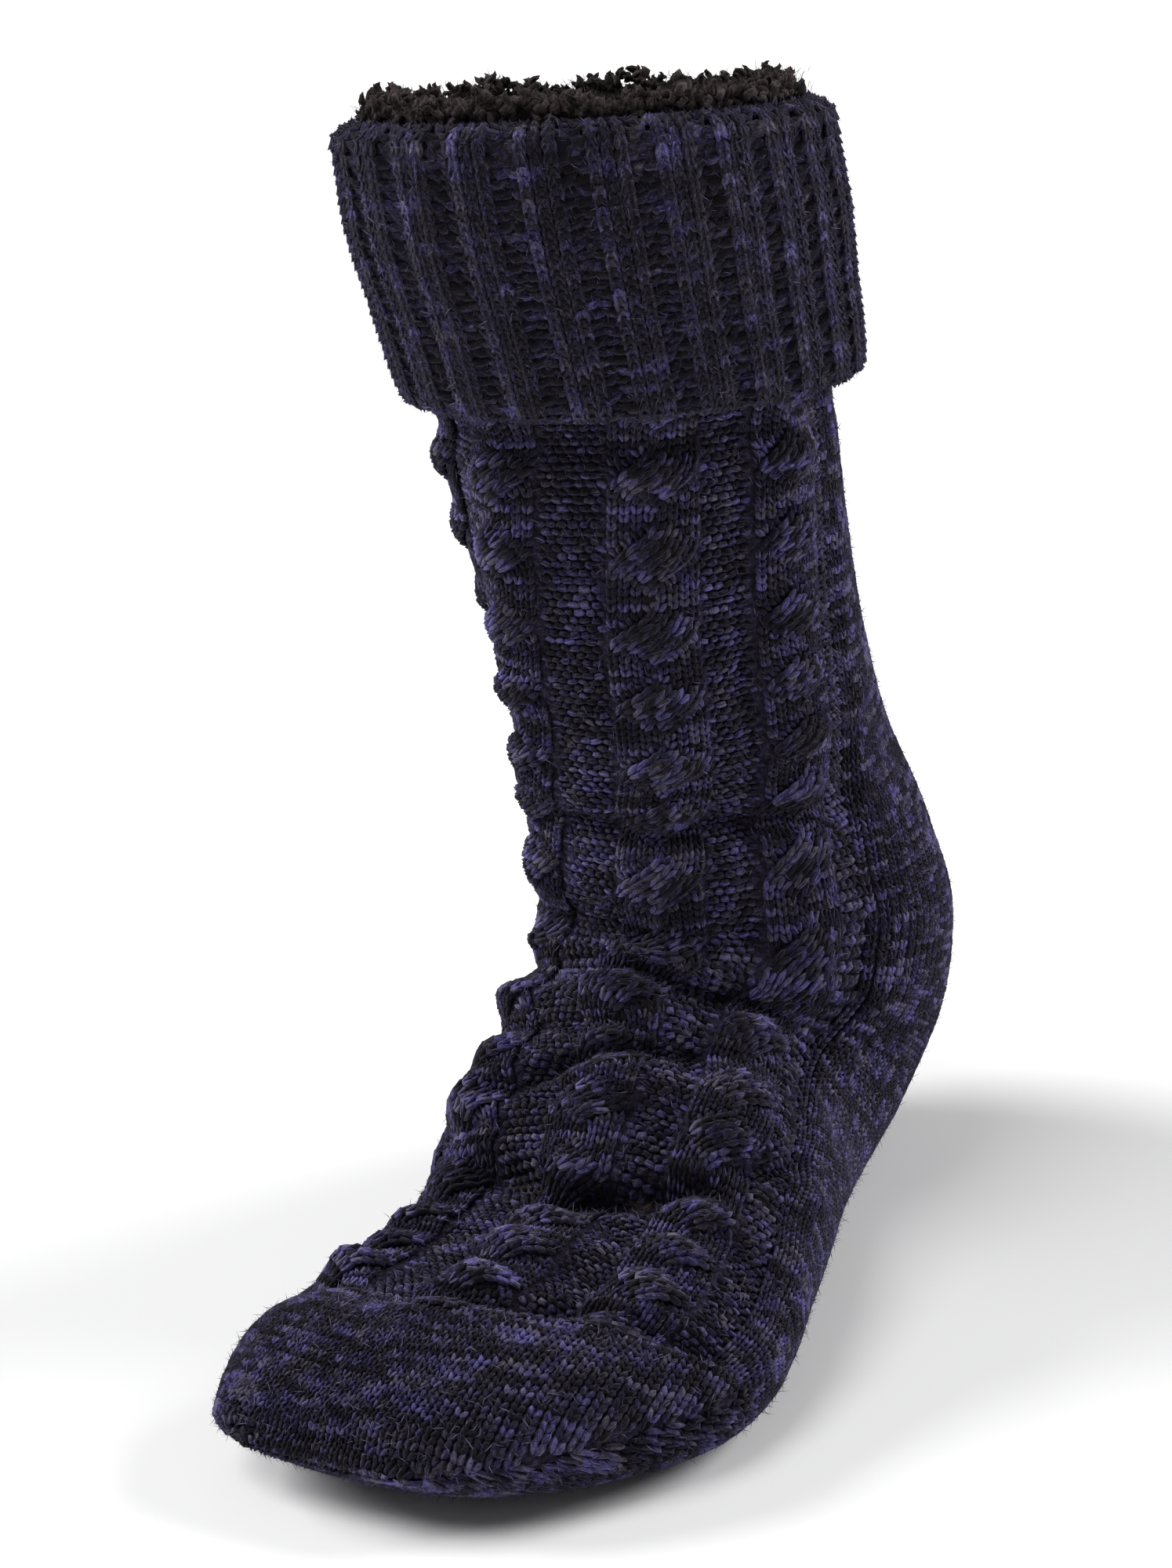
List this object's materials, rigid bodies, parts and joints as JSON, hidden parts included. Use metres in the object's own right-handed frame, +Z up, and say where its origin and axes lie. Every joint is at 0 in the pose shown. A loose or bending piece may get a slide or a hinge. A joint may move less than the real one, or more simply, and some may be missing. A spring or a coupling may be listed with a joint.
{
  "type": "slipper sock",
  "caption": "Thick knitted slipper sock with rope cables on leg and instep, a turned-down ribbed cuff and a deep pile lining at the collar.",
  "frame": {"origin": "on the floor under the middle of the heel", "axes": "-Y towards the toe, +X towards the little toe, +Z up the leg"},
  "size_m": [0.1474, 0.281, 0.3293],
  "materials": {
    "marled_knit": "soft marled knitting of indigo and black-brown yarn",
    "rib_knit": "ribbed knitting of the same marled yarn",
    "pile_lining": "dark brown curly pile"
  },
  "bodies": {
    "root": {"upper": "marled_knit", "cuff": "rib_knit", "lining": "pile_lining"}
  },
  "joints": []
}
